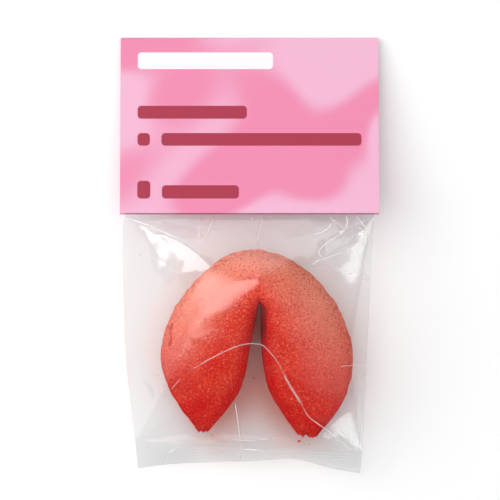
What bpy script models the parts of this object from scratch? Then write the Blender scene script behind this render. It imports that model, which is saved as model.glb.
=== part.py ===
# A fortune cookie sealed in a clear bag, with a folded header card over the bag's mouth.
# The pack lies on its back, the card towards +Y, and its box stands centred on the origin.

import math
import random

import bmesh
import bpy
from mathutils import Matrix, Vector
from mathutils.bvhtree import BVHTree

PACK_NAME = "fortune_cookie_pack"
PACK_LENGTH = 0.1371          # from the card's fold to the bag's lowest corner
MM = 0.001
GAP = 0.0003                  # between pieces that touch

# Header card: one sheet folded over the mouth of the bag, its lower edge raised by the bag
CARD_WIDTH = 0.081
CARD_PANEL = 0.0568           # height of one panel, measured along its slope
CARD_THICKNESS = 0.0005
CARD_INSIDE = 0.0014          # room between the two panels
CARD_TILT = math.radians(12.5)
CARD_FOLD_STEPS = 10

# Film of the bag
FILM_THICKNESS = 0.0008       # two plies pressed together, as at the mouth
FILM_OVER_COOKIE = 0.0014     # from the cookie to the outside of the bag
MOUTH_DEPTH = 0.0035          # the mouth stops this far short of the card's fold
SEAL_OVERLAP = 0.0020         # how far the sealed band runs up into the full part of the bag
MOUTH_SLOT_WIDTH = 0.012      # the way in from the mouth to the cookie
MOUTH_SLOT_HEIGHT = 0.0003

# Edges of the bag in millimetres, as x, y and height above the floor
LEFT_EDGE = [(-39.0, 12.4, 12.8), (-39.8, 2.8, 11.6), (-38.8, -30.7, 9.2), (-37.4, -45.5, 7.2), (-35.9, -58.4, 5.0)]
RIGHT_EDGE = [(38.9, 12.4, 12.8), (38.0, -7.7, 10.6), (36.6, -34.8, 9.0), (36.1, -48.0, 7.4), (35.6, -61.5, 5.8)]
# Lower edge of the heat-sealed band in millimetres, from the left corner to the right one
SEAL_EDGE = [(-35.1, -67.0, 1.4), (-21.9, -65.4, 3.2), (0.2, -64.6, 4.8), (14.3, -64.0, 5.2), (25.4, -66.8, 4.4)]
SEAL_CORNER_X = 34.7
SEAL_CORNER_HEIGHT = 2.8
SEAL_BOW = 0.0012             # how far the middle of the band's upper edge is lifted by the contents
SEAL_STEPS = 6                # between two of the points above

# Cookie: a thin round wafer folded in half, then bent over the middle of the fold.
# Each half is drawn in the plane between its two layers, in millimetres from the cookie's centre.
COOKIE_X = 0.0022
COOKIE_Y = -0.0282
COOKIE_TILT = math.radians(10.5)     # it lies on its belly, with its tips towards the floor
RIM_LEFT = [(0.8, 30.4), (-8.2, 28.8), (-16.3, 23.0), (-24.4, 13.3), (-28.9, 2.9), (-29.6, -5.9),
            (-27.2, -13.7), (-22.8, -21.2), (-18.2, -27.4)]
RIM_RIGHT = [(0.8, 30.4), (8.9, 27.9), (17.1, 22.3), (24.6, 13.1), (29.0, 2.9), (30.0, -4.4),
             (29.0, -12.7), (25.6, -20.6), (18.8, -29.4)]
FOLD_LEFT = [(1.0, 14.3), (0.3, 13.1), (-0.6, 9.3), (-2.4, 0.9), (-3.9, -8.9), (-5.8, -15.2),
             (-8.6, -19.4), (-11.6, -23.2), (-15.4, -27.6)]
FOLD_RIGHT = [(1.0, 14.3), (1.7, 13.1), (1.7, 8.8), (1.6, 0.9), (2.4, -8.9), (4.4, -15.2),
              (6.9, -19.4), (9.4, -23.2), (13.4, -29.0)]
MIDDLE_BULGE = 0.0126         # from that plane to the outside of a layer, at the middle of the fold
TIP_BULGE = 0.0017
LIP = 0.0015                  # the same at the open rim, where the two layers nearly meet
RIM_GROOVE = 0.0014           # depth of the gap between the layers at the rim
BULGE_FALL = 1.7              # how the bulge falls away from the middle to the tips
CREST = 0.48                  # where a section is fattest, as a share of the way from fold to rim
FOLD_ROUNDNESS = 2.9
RIM_ROUNDNESS = (1.9, 2.7)    # at the middle, and from ROUND_FROM outwards
ROUND_FROM = 0.35
RIM_STEEPNESS = 0.75
FOLD_LEAD = 0.35              # how far the sections fan out round the middle of the fold
HALF_SECTIONS = 26
LAYER_POINTS = 13
PATH_STEPS = 8
TIP_RAGGEDNESS = 0.0010       # the broken ends
RAGGED_SEED = 4

# A short tear near the rim of the left half, in the cookie's plane
TEAR_X = -0.0270
TEAR_Y = 0.0031
TEAR_SIZE = (0.0010, 0.0066, 0.0036)
TEAR_DEPTH = 0.0011

COOKIE_COLOR = (0.60, 0.085, 0.055)
CARD_COLOR = (0.93, 0.47, 0.66)
FILM_COLOR = (0.93, 0.93, 0.92)
FILM_ALPHA = 0.22


def clear_scene():
    for thing in list(bpy.data.objects):
        bpy.data.objects.remove(thing, do_unlink=True)


def new_collection(name):
    collection = bpy.data.collections.new(name)
    bpy.context.scene.collection.children.link(collection)
    return collection


def new_material(name, color, roughness, alpha=1.0):
    material = bpy.data.materials.new(name)
    material.use_nodes = True
    surface = material.node_tree.nodes["Principled BSDF"]
    surface.inputs["Base Color"].default_value = (*color, 1.0)
    surface.inputs["Metallic"].default_value = 0.0
    surface.inputs["Roughness"].default_value = roughness
    surface.inputs["Alpha"].default_value = alpha
    return material


def object_from(form, name, collection, material=None):
    """Puts a finished bmesh into the scene as an object of its own."""
    bmesh.ops.recalc_face_normals(form, faces=form.faces)
    mesh = bpy.data.meshes.new(name)
    form.to_mesh(mesh)
    form.free()
    mesh.shade_smooth()
    mesh.set_sharp_from_angle(angle=math.radians(35))
    made = bpy.data.objects.new(name, mesh)
    collection.objects.link(made)
    if material:
        mesh.materials.append(material)
    return made


def as_cutter(cutter):
    cutter.hide_render = True
    cutter.display_type = "WIRE"
    return cutter


def add_boolean(target, cutter, operation):
    boolean = target.modifiers.new(operation.title() + " " + cutter.name, "BOOLEAN")
    boolean.operation = operation
    boolean.object = cutter


def smooth_path(points):
    """A smooth curve through points in millimetres, as vectors in metres."""
    corners = [Vector(point) * MM for point in points]
    last = len(corners) - 1
    path = []
    for i in range(last):
        before, start = corners[max(i - 1, 0)], corners[i]
        end, after = corners[i + 1], corners[min(i + 2, last)]
        for step in range(PATH_STEPS):
            t = step / PATH_STEPS
            path.append(
                start
                + 0.5 * t * (end - before)
                + 0.5 * t**2 * (2 * before - 5 * start + 4 * end - after)
                + 0.5 * t**3 * (3 * start - before - 3 * end + after)
            )
    path.append(corners[last])
    return path


def along(path, share):
    """The point at a share of a path's length."""
    lengths = [(b - a).length for a, b in zip(path, path[1:])]
    left = share * sum(lengths)
    for i, length in enumerate(lengths):
        if left <= length:
            return path[i].lerp(path[i + 1], left / length)
        left -= length
    return path[-1].copy()


def section_ring(fold, rim, bulge, lip, groove, roundness):
    """One slice of the cookie: out along the front layer, over the rim and back along the other."""
    def point(share, height):
        place = fold.lerp(rim, share)
        return Vector((place.x, place.y, height))

    front = []
    for i in range(1, LAYER_POINTS + 1):
        share = 0.5 - 0.5 * math.cos(math.pi * i / LAYER_POINTS)
        if share < CREST:
            height = bulge * (1 - (1 - share / CREST) ** FOLD_ROUNDNESS) ** (1 / FOLD_ROUNDNESS)
        else:
            beyond = (share - CREST) / (1 - CREST)
            height = lip + (bulge - lip) * max(0.0, 1 - beyond**roundness) ** RIM_STEEPNESS
        front.append((share, height))
    seam = 1 - groove / (rim - fold).length
    ring = [point(0, 0)]
    ring += [point(share, height) for share, height in front]
    ring += [point(seam, 0)]
    ring += [point(share, -height) for share, height in reversed(front)]
    return ring


def cookie_form(grow=0.0):
    """The cookie round its own centre, or the same form grown evenly by a distance."""
    folds = smooth_path(FOLD_LEFT), smooth_path(FOLD_RIGHT)
    rims = smooth_path(RIM_LEFT), smooth_path(RIM_RIGHT)
    ragged = random.Random(RAGGED_SEED)
    form = bmesh.new()
    rings = []
    for i in range(-HALF_SECTIONS, HALF_SECTIONS + 1):
        side = 0 if i < 0 else 1
        share = abs(i) / HALF_SECTIONS
        fold_share = (1 - FOLD_LEAD) * share + FOLD_LEAD * math.sin(share * math.pi / 2)
        fold, rim = along(folds[side], fold_share), along(rims[side], share)
        outward = (rim - fold).normalized()
        bulge = TIP_BULGE + (MIDDLE_BULGE - TIP_BULGE) * (1 - share**BULGE_FALL)
        lip = min(LIP, bulge)
        groove = RIM_GROOVE * (1 - share**4) if grow == 0 else -grow
        roundness = RIM_ROUNDNESS[0] + (RIM_ROUNDNESS[1] - RIM_ROUNDNESS[0]) * min(1.0, share / ROUND_FROM)
        ring = section_ring(
            fold - outward * grow, rim + outward * grow, bulge + grow, lip + grow, groove, roundness
        )
        if abs(i) == HALF_SECTIONS:
            end = (folds[side][-1] - folds[side][-2]).normalized().to_3d()
            for corner in ring:
                corner += end * (grow or -ragged.uniform(0, TIP_RAGGEDNESS))
        rings.append([form.verts.new(corner) for corner in ring])
    for ring, following in zip(rings, rings[1:]):
        for k in range(len(ring)):
            n = (k + 1) % len(ring)
            form.faces.new((ring[k], ring[n], following[n], following[k]))
    form.faces.new(rings[0])
    form.faces.new(list(reversed(rings[-1])))
    return form


def cookie_place():
    """Where the cookie lies: tilted, and just clear of the film under it."""
    turn = Matrix.Rotation(COOKIE_TILT, 4, "X")
    form = cookie_form()
    lowest = min((turn @ corner.co).z for corner in form.verts)
    form.free()
    height = FILM_OVER_COOKIE - GAP - lowest
    return Matrix.Translation((COOKIE_X, COOKIE_Y, height)) @ turn


def add_cookie(place, collection, cutters):
    """The cookie, with the tear near its left rim cut into the front layer."""
    cookie = object_from(cookie_form(), "cookie", collection, new_material("baked wafer", COOKIE_COLOR, 0.75))
    cookie.matrix_world = place
    tree = BVHTree.FromPolygons(
        [corner.co for corner in cookie.data.vertices], [face.vertices for face in cookie.data.polygons]
    )
    hit = tree.ray_cast(Vector((TEAR_X, TEAR_Y, 1.0)), Vector((0, 0, -1)))[0]
    form = bmesh.new()
    bmesh.ops.create_icosphere(form, subdivisions=2, radius=0.5)
    bmesh.ops.scale(form, vec=TEAR_SIZE, verts=form.verts)
    bmesh.ops.translate(form, vec=hit + Vector((0, 0, TEAR_SIZE[2] / 2 - TEAR_DEPTH)), verts=form.verts)
    tear = as_cutter(object_from(form, "rim_tear", cutters))
    tear.matrix_world = place
    add_boolean(cookie, tear, "DIFFERENCE")


def card_bend():
    """Radius of the middle of the sheet round the card's fold."""
    return (CARD_INSIDE + CARD_THICKNESS) / 2


def card_end():
    """How far the card's lower edge is from the middle of its fold."""
    return CARD_PANEL - card_bend() - CARD_THICKNESS / 2


def card_frame():
    """The card's own axes in the pack: +X across, -Y down the panel from the fold, +Z out of the front."""
    outside = CARD_INSIDE / 2 + CARD_THICKNESS
    fold_y = PACK_LENGTH / 2 - outside
    return Matrix.Translation((0, fold_y, outside)) @ Matrix.Rotation(-CARD_TILT, 4, "X")


def add_card(collection):
    """Back panel, fold and front panel as one bent sheet."""
    bend = card_bend()
    profile = [(-card_end(), -bend)]
    for step in range(CARD_FOLD_STEPS + 1):
        angle = math.pi * step / CARD_FOLD_STEPS
        profile.append((bend * math.sin(angle), -bend * math.cos(angle)))
    profile.append((-card_end(), bend))
    form = bmesh.new()
    rows = [
        [form.verts.new((side * CARD_WIDTH / 2, y, z)) for side in (-1, 1)]
        for y, z in profile
    ]
    for row, following in zip(rows, rows[1:]):
        form.faces.new((row[0], row[1], following[1], following[0]))
    card = object_from(form, "header_card", collection, new_material("coated card", CARD_COLOR, 0.45))
    card.matrix_world = card_frame()
    thickness = card.modifiers.new("Card thickness", "SOLIDIFY")
    thickness.thickness = CARD_THICKNESS
    thickness.offset = 0.0


def seal_rows():
    """Upper and lower points of the heat-sealed band, from left to right."""
    corner = (SEAL_CORNER_X, -PACK_LENGTH / 2 / MM, SEAL_CORNER_HEIGHT)
    lower = smooth_path(SEAL_EDGE + [corner])
    start, end = Vector(LEFT_EDGE[-1]) * MM, Vector(RIGHT_EDGE[-1]) * MM
    columns = SEAL_STEPS * len(SEAL_EDGE)
    rows = []
    for i in range(columns + 1):
        share = i / columns
        lift = Vector((0, 0, SEAL_BOW * math.sin(math.pi * share)))
        rows.append((start.lerp(end, share) + lift, along(lower, share)))
    return rows


def bag_body(place):
    """The full part of the bag: taut film from its flat edges over the cookie."""
    grown = cookie_form(FILM_OVER_COOKIE)
    grown.transform(place)
    points = [Vector((corner.co.x, corner.co.y, max(corner.co.z, 0.0))) for corner in grown.verts]
    grown.free()
    edges = smooth_path(LEFT_EDGE) + smooth_path(RIGHT_EDGE) + [upper for upper, lower in seal_rows()]
    half_ply = Vector((0, 0, FILM_THICKNESS / 2))
    points += [corner + half_ply for corner in edges] + [corner - half_ply for corner in edges]
    form = bmesh.new()
    for point in points:
        form.verts.new(point)
    hull = bmesh.ops.convex_hull(form, input=form.verts[:])
    left_over = hull["geom_interior"] + hull["geom_unused"]
    inside = {thing for thing in left_over if isinstance(thing, bmesh.types.BMVert)}
    bmesh.ops.delete(form, geom=list(inside), context="VERTS")
    return form


def bag_mouth():
    """The flat mouth of the bag, two plies between the card's panels."""
    length = card_end() - MOUTH_DEPTH
    form = bmesh.new()
    bmesh.ops.create_cube(form, size=1.0)
    left, right = LEFT_EDGE[0][0] * MM, RIGHT_EDGE[0][0] * MM
    bmesh.ops.scale(form, vec=(right - left, length, FILM_THICKNESS), verts=form.verts)
    middle = ((left + right) / 2, -MOUTH_DEPTH - length / 2, 0)
    bmesh.ops.translate(form, vec=middle, verts=form.verts)
    form.transform(card_frame())
    return form


def seal_band():
    """The heat-sealed band, standing a little off the floor in its middle."""
    form = bmesh.new()
    inside = Vector((0, SEAL_OVERLAP, 0))
    rows = [(upper + inside, lower) for upper, lower in seal_rows()]
    corners = [[form.verts.new(point) for point in row] for row in rows]
    for row, following in zip(corners, corners[1:]):
        form.faces.new((row[0], following[0], following[1], row[1]))
    return form


def mouth_slot(place):
    """The way in: a thin slot from the mouth's end, between the plies, to the cookie's rim."""
    frame = card_frame()
    rim = place @ Vector((COOKIE_X, RIM_LEFT[0][1] * MM, 0))
    route = [
        frame @ Vector((COOKIE_X, -MOUTH_DEPTH / 2, 0)),
        frame @ Vector((COOKIE_X, -card_end(), 0)),
        rim - Vector((0, RIM_GROOVE, 0)),
    ]
    half = Vector((MOUTH_SLOT_WIDTH / 2, 0, 0))
    form = bmesh.new()
    rows = [[form.verts.new(point + side * half) for side in (-1, 1)] for point in route]
    for row, following in zip(rows, rows[1:]):
        form.faces.new((row[0], row[1], following[1], following[0]))
    return form


def with_thickness(sheet, thickness):
    plate = sheet.modifiers.new("Film thickness", "SOLIDIFY")
    plate.thickness = thickness
    plate.offset = 0.0
    return sheet


def add_bag(place, collection, cutters):
    """The bag as closed solids, hollow only where the cookie lies and along the slot at the mouth."""
    film = new_material("clear film", FILM_COLOR, 0.08, FILM_ALPHA)
    bag = object_from(bag_body(place), "bag", collection, film)
    mouth = object_from(bag_mouth(), "bag_mouth", collection, film)
    band = with_thickness(as_cutter(object_from(seal_band(), "seal_band", cutters)), FILM_THICKNESS)
    cavity = cookie_form(GAP)
    cavity.transform(place)
    hollow = as_cutter(object_from(cavity, "cookie_hollow", cutters))
    slot = with_thickness(as_cutter(object_from(mouth_slot(place), "mouth_slot", cutters)), MOUTH_SLOT_HEIGHT)
    add_boolean(bag, band, "UNION")
    add_boolean(bag, hollow, "DIFFERENCE")
    add_boolean(bag, slot, "DIFFERENCE")
    add_boolean(mouth, slot, "DIFFERENCE")


def main():
    clear_scene()
    pack = new_collection(PACK_NAME)
    cutters = new_collection("cutters")
    place = cookie_place()
    add_cookie(place, pack, cutters)
    add_bag(place, pack, cutters)
    add_card(pack)


main()
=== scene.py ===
# Fortune cookie in its clear bag, lying on its back under a folded header card.
# Everything is in metres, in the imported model's own frame: +Z up, +Y towards the card.
import math
import random

import bmesh
import bpy
import numpy as np
from mathutils import Matrix, Quaternion, Vector, geometry, noise
from mathutils.bvhtree import BVHTree


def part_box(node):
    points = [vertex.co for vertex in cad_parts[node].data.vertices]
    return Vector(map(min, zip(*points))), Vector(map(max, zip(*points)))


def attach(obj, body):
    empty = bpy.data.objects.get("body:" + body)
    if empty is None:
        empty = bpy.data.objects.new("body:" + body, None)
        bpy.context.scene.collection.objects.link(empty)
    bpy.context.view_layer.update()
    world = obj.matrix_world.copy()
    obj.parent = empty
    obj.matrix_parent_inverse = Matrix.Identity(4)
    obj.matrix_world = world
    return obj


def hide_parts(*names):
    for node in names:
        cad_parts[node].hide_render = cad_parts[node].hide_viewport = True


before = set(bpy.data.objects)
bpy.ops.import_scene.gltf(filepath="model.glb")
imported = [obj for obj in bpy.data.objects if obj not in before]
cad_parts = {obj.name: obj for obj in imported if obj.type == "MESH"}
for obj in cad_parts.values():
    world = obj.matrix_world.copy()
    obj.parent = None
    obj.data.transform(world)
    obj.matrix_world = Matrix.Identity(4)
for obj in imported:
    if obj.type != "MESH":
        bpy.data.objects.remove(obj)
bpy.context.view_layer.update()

mm = 0.001
cookieLow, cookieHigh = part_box("cookie")
mouthLow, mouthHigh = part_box("bag_mouth")


def linear(hexColor):
    # sRGB hex to the linear values that nodes take
    parts = [int(hexColor[i:i + 2], 16) / 255 for i in (1, 3, 5)]
    return tuple(p / 12.92 if p <= 0.04045 else ((p + 0.055) / 1.055) ** 2.4 for p in parts) + (1.0,)


def addNode(tree, kind, settings=None, links=None):
    made = tree.nodes.new("ShaderNode" + kind)
    for name, value in (settings or {}).items():
        if isinstance(name, int) or name in made.inputs:
            made.inputs[name].default_value = value
        else:
            setattr(made, name, value)
    for name, source in (links or {}).items():
        tree.links.new(source, made.inputs[name])
    return made


def newMaterial(name):
    material = bpy.data.materials.new(name)
    material.use_nodes = True
    material.node_tree.nodes.clear()
    return material, material.node_tree, addNode(material.node_tree, "OutputMaterial")


def newPiece(name, points, faces, material, marks=None):
    mesh = bpy.data.meshes.new(name)
    mesh.from_pydata([tuple(p) for p in points], [], faces)
    mesh.update()
    mesh.shade_smooth()
    for mark, values in (marks or {}).items():
        mesh.attributes.new(mark, "FLOAT", "POINT").data.foreach_set("value", np.asarray(values, np.float32))
    mesh.materials.append(material)
    piece = bpy.data.objects.new(name, mesh)
    bpy.context.scene.collection.objects.link(piece)
    return piece


def fade(values, start, end):
    # 0 at start and 1 at end, straight between them; start may be the larger
    return np.clip((values - start) / (end - start), 0, 1)


def smoothPath(points, steps=24):
    # Catmull-Rom curve through points in millimetres, given back in metres
    corners = np.array(points, float) * mm
    padded = np.vstack([corners[:1], corners, corners[-1:]])
    t = np.linspace(0, 1, steps, endpoint=False)[:, None]
    stretches = []
    for i in range(len(corners) - 1):
        a, b, c, d = padded[i:i + 4]
        cubic = t * (c - a) + t**2 * (2 * a - 5 * b + 4 * c - d) + t**3 * (3 * b - a - 3 * c + d)
        stretches.append(b + 0.5 * cubic)
    return np.vstack(stretches + [corners[-1:]])


def alongPath(path, shares):
    steps = np.linalg.norm(np.diff(path, axis=0), axis=1)
    run = np.concatenate([[0.0], np.cumsum(steps)])
    return np.stack([np.interp(shares * run[-1], run, axis) for axis in path.T], axis=-1)


def fromPath(places, path):
    # Distance in the plane from each place to a polyline
    best = np.full(len(places), 1e9)
    for start, end in zip(path, path[1:]):
        step = (end - start)[:2]
        t = np.clip((places[:, :2] - start[:2]) @ step / (step @ step + 1e-18), 0, 1)
        best = np.minimum(best, np.linalg.norm(places[:, :2] - start[:2] - t[:, None] * step, axis=1))
    return best


def wander(places, size, seed, octaves=3):
    # Smooth random heights, about -1 to 1, with bumps of a given size
    shift = Vector((seed * 3.7, seed * 1.3, seed * 2.1))
    return np.array([noise.fractal(Vector(p) / size + shift, 0.8, 2.0, octaves) for p in places])


def gridFaces(rows, columns, first=0, closed=False):
    last = columns if closed else columns - 1
    return [
        (first + i * columns + k, first + (i + 1) * columns + k,
         first + (i + 1) * columns + (k + 1) % columns, first + i * columns + (k + 1) % columns)
        for i in range(rows - 1) for k in range(last)
    ]


# The cookie: a thin round wafer folded in half and bent over the middle of its fold. It is drawn
# in the plane between its two layers, in millimetres from its centre. A slice runs from fold to rim,
# and shares along the cookie go from 0 at its middle to 1 at a tip.
wafer = {
    "x": 2.2,
    "y": -28.2,
    "tilt": 10.5,                # degrees, tips towards the floor
    "rimLeft": [(0.8, 30.4), (-8.2, 28.8), (-16.3, 23.0), (-24.4, 13.3), (-28.9, 2.9), (-29.6, -5.9),
                (-27.2, -13.7), (-22.8, -21.2), (-18.2, -27.4)],
    "rimRight": [(0.8, 30.4), (8.9, 27.9), (17.1, 22.3), (24.6, 13.1), (29.0, 2.9), (30.0, -4.4),
                 (29.0, -12.7), (25.6, -20.6), (18.8, -29.4)],
    "foldLeft": [(0.9, 14.3), (0.5, 13.1), (0.0, 9.3), (-1.8, 0.9), (-3.5, -8.9), (-5.8, -15.2),
                 (-8.6, -19.4), (-11.6, -23.2), (-15.4, -27.6)],
    "foldRight": [(0.9, 14.3), (1.3, 13.1), (1.3, 8.8), (1.5, 0.9), (2.4, -8.9), (4.4, -15.2),
                  (6.9, -19.4), (9.4, -23.2), (13.4, -29.0)],
    "middleBulge": 12.6,         # from that plane to the outside of a layer
    "tipBulge": 1.7,
    "bulgeFall": 1.7,            # the larger, the later it thins towards the tips
    "lip": 1.5,                  # the same distance at the pinched rim
    "crest": 0.48,               # where a slice is fattest, as a share of the way from fold to rim
    "foldRoundness": 2.9,
    "rimRoundness": (1.9, 2.7),  # at the middle, and from roundFrom to the tips
    "roundFrom": 0.35,
    "rimSteepness": 0.75,
    "foldLead": 0.35,            # how far a slice is ahead at the fold of its place at the rim
    "halfSlices": 180,
    "layerPoints": 80,
    # The open rim, from the outside of a layer into the gap: out from the rim in mm, share of the lip
    "rimEdge": [(0.15, 0.82), (0.22, 0.52), (0.05, 0.30), (-0.5, 0.18), (-1.4, 0.13), (-2.2, 0.0)],
    "frontRetreat": 0.7,         # mm that the front layer ends short of the back one, on the right
    "retreatStart": (0.3, 0.45), # shares along that half between which it sets in
    "retreatEnd": (0.97, 0.87),  # and, counted from the tip, at its other end
    "rimWander": 0.3,            # unevenness of the rim, mm
    "rimWanderSize": 3.0,
    "lumps": 0.28,               # slow unevenness of the baked sheet, mm
    "lumpSize": 9.0,
    "grit": 0.09,                # grain of the crust, mm
    "gritSize": 0.9,
    "ragged": 1.7,               # how far the broken tips are chipped back, mm
    "raggedFrom": 0.9,
    "chipWidth": 5.0,            # points round a slice
    "tear": [(-26.5, 7.4), (-26.8, 6.3), (-27.2, 5.3), (-26.8, 4.2), (-26.8, 2.8), (-27.1, 1.5),
             (-27.7, 0.5)],
    "tearDepth": 0.7,
    "tearWidth": 0.42,
    "tearSteps": 1.3,            # mm over which its depth changes
    "foldShadeDeepening": 4.5,            # mm from the fold over which the crust is painted deeper, as painted shade
    "foldShadeDeepeningEnd": (0.9, 0.6),  # shares along the cookie between which that fades in from a tip
    "foldDark": (2.2, 1.5),      # mm from the fold over which its painted shadow strip fades in
    "foldDarkEnd": (0.3, 0.18),  # shares along the cookie, as above
    "seed": 11,
}


def waferSlices(halfSlices, layerPoints, grow=0.0):
    # Where each slice of the cookie has its fold, its rim and its outside, from the left tip to the right
    w = wafer
    order = np.arange(-halfSlices, halfSlices + 1)
    share = np.abs(order) / halfSlices
    left = (order < 0)[:, None]
    foldShare = (1 - w["foldLead"]) * share + w["foldLead"] * np.sin(share * math.pi / 2)
    fold = np.where(left, *(alongPath(smoothPath(w[name]), foldShare) for name in ("foldLeft", "foldRight")))
    rim = np.where(left, *(alongPath(smoothPath(w[name]), share) for name in ("rimLeft", "rimRight")))
    outward = (rim - fold) / np.linalg.norm(rim - fold, axis=1, keepdims=True)
    bulge = (w["tipBulge"] + (w["middleBulge"] - w["tipBulge"]) * (1 - share ** w["bulgeFall"])) * mm
    lip = (np.minimum(w["lip"] * mm, bulge) + grow)[:, None]
    bulge = (bulge + grow)[:, None]
    start, end = w["rimRoundness"]
    roundness = (start + (end - start) * np.minimum(1, share / w["roundFrom"]))[:, None]
    t = 0.5 - 0.5 * np.cos(math.pi * np.arange(layerPoints + 1) / layerPoints)
    fromCrest = fade(t, w["crest"], 0)
    inner = (1 - fromCrest ** w["foldRoundness"]) ** (1 / w["foldRoundness"])
    beyond = fade(t, w["crest"], 1)[None, :]
    outer = lip + (bulge - lip) * np.clip(1 - beyond ** roundness, 0, 1) ** w["rimSteepness"]
    height = np.where(t < w["crest"], bulge * inner, outer)
    return order, share, fold - outward * grow, rim + outward * grow, outward, t, height, lip


def waferPlace(points):
    # Tilted, and over its place in the bag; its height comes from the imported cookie's box
    turn = Matrix.Rotation(math.radians(wafer["tilt"]), 3, "X")
    return points @ np.array(turn).T + np.array([wafer["x"] * mm, wafer["y"] * mm, 0.0])


def buildWafer(material):
    w = wafer
    order, share, fold, rim, outward, t, height, lip = waferSlices(w["halfSlices"], w["layerPoints"])
    slices, count = len(order), w["layerPoints"]
    seam = 1 - share[:, None] ** 4       # the gap between the layers closes at the tips
    onRight = fade(order / w["halfSlices"], *w["retreatStart"]) * fade(share, *w["retreatEnd"])
    layers, edges = [], []
    for sign, retreat in ((1, w["frontRetreat"]), (-1, 0.0)):
        apart = np.full(slices, sign * 9.0)      # far enough for each layer's rim to wander its own way
        uneven = wander(np.column_stack([rim / mm, apart]), w["rimWanderSize"], w["seed"] + sign)
        ends = rim + outward * mm * (w["rimWander"] * uneven - retreat * onRight)[:, None]
        flat = fold[:, None, :] + (ends - fold)[:, None, :] * t[None, :, None]
        layers.append(np.concatenate([flat, sign * height[:, :, None]], axis=2))
        edge = []
        for out, part in w["rimEdge"][:-1]:
            place = ends + outward * mm * (out * (seam if out < 0 else 1))
            edge.append(np.concatenate([place, sign * lip * part], axis=1))
        edges.append(np.stack(edge, axis=1))
    deepest = rim + outward * mm * w["rimEdge"][-1][0] * seam
    middle = np.concatenate([deepest, np.zeros((slices, 1))], axis=1)[:, None, :]
    rings = np.concatenate([layers[0], edges[0], middle, edges[1][:, ::-1], layers[1][:, :0:-1]], axis=1)
    ringSize = rings.shape[1]

    across = np.roll(rings, -1, axis=1) - np.roll(rings, 1, axis=1)
    normal = np.cross(np.gradient(rings, axis=0), across).reshape(-1, 3)
    normal /= np.linalg.norm(normal, axis=1, keepdims=True) + 1e-12
    points = rings.reshape(-1, 3)
    onCrust = np.ones(ringSize)
    onCrust[count + 1:-count] = 0.5      # the rim's edge is smoother
    swell = w["lumps"] * wander(points / mm, w["lumpSize"], w["seed"])
    swell += w["grit"] * wander(points / mm, w["gritSize"], w["seed"] + 5, 2)
    tear = np.exp(-(fromPath(points, smoothPath(w["tear"])) / (w["tearWidth"] * mm)) ** 2)
    uneven = 0.75 + 0.9 * wander(points / mm, w["tearSteps"], w["seed"] + 9, 2)
    tear *= np.clip(uneven, 0.1, 1.2) * (points[:, 2] > 0)      # ragged, and in the front layer only
    points = points + normal * mm * (swell * np.tile(onCrust, slices) - w["tearDepth"] * tear)[:, None]

    # The broken tips: each point near an end is chipped back along the fold by its own amount
    rings = points.reshape(slices, ringSize, 3)
    chips = wander(np.column_stack([np.arange(ringSize), *np.zeros((2, ringSize))]), w["chipWidth"], 3)
    for end, before, half in ((0, 4, order < 0), (-1, -5, order > 0)):
        reach = fade(share, w["raggedFrom"], 1) * half
        along = fold[end] - fold[before]
        along = np.append(along / np.linalg.norm(along), 0.0)
        depth = np.maximum(w["ragged"] * mm * (0.5 + 0.9 * np.roll(chips, 40 * end)), 0)
        rings = rings - along * (reach[:, None] * depth[None, :])[:, :, None]
    points = rings.reshape(-1, 3)

    faces = gridFaces(slices, ringSize, closed=True)
    for first in (0, (slices - 1) * ringSize):       # strips of faces close the two ends
        for k in range(ringSize // 2):
            corners = [k, k + 1, ringSize - k - 1, (ringSize - k) % ringSize]
            corners = list(dict.fromkeys(c % ringSize for c in corners))
            faces.append([first + c for c in (corners if first else corners[::-1])])
    placed = waferPlace(points)
    placed[:, 2] += cookieLow.z - placed[:, 2].min()
    toRim = np.tile(np.concatenate([t, np.ones(ringSize - 2 * count - 1), t[:0:-1]]), slices)
    toTip = np.repeat(share, ringSize)
    rightHalf = np.repeat(order > 0, ringSize)
    folds = [fromPath(points, smoothPath(w[name], 6)) / mm for name in ("foldLeft", "foldRight")]
    fromFold = np.where(rightHalf, folds[1], folds[0])
    marks = {
        "tear": tear,
        "toRim": toRim,
        "toTip": toTip,
        # Painted shade: the crust is painted deeper near the fold, where the slit's flanks are in shade,
        # with a painted shadow strip just right of its middle, where the slit's inner wall is in shade
        "foldShadeDeepening": fade(fromFold, w["foldShadeDeepening"], 0) * fade(toTip, *w["foldShadeDeepeningEnd"]),
        "foldDark": rightHalf * fade(fromFold, *w["foldDark"]) * fade(toTip, *w["foldDarkEnd"]),
    }
    return newPiece("folded_wafer", placed, faces, material, marks)


crust = {
    "base": "#f84c30",
    # deep: colour of the darker patches, and of the painted shade at the tips and near the fold
    "deep": "#e20b06",
    "pale": "#fca284",
    "pore": "#b2120a",
    # fold: colour of the painted shadow strip, where the slit's inner wall is in shade
    "fold": "#9c0204",
    "torn": "#c8140a",
    "rimPaleness": 0.65,         # towards the rim, where the sheet is thinnest, and partly a painted highlight for the film's glare over the top of the cookie
    "tipDepth": 0.82,            # how much of the deep colour the tips have, as painted shade where the horns turn down away from the light
    "patchDepth": 0.35,          # and the darker patches
    "patchSize": 7.0,            # mm
    "grainSize": 0.6,            # mm, drawn coarser than flour grain so that it shows
    "speckles": (0.56, 0.68),    # heights of the grain over which a pale speckle fades in
    "hollows": (0.46, 0.36),     # and a dark hollow
    "hollowDark": 0.7,
    "poreSpacing": 1.0,          # mm
    "poreSizes": (0.1, 0.24),    # shares of that spacing, where they are small and where they are large
    "poreChange": 4.0,           # mm from the one to the other
    "stretchedPores": 0.2,       # that much larger round the middle of the fold
    "rimShadeSize": 1.0,             # mm, of the painted shade spots along the rim, where the gap between the layers is in shade
    "relief": 0.22,              # mm
    "roughness": 0.85,
}


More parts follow.
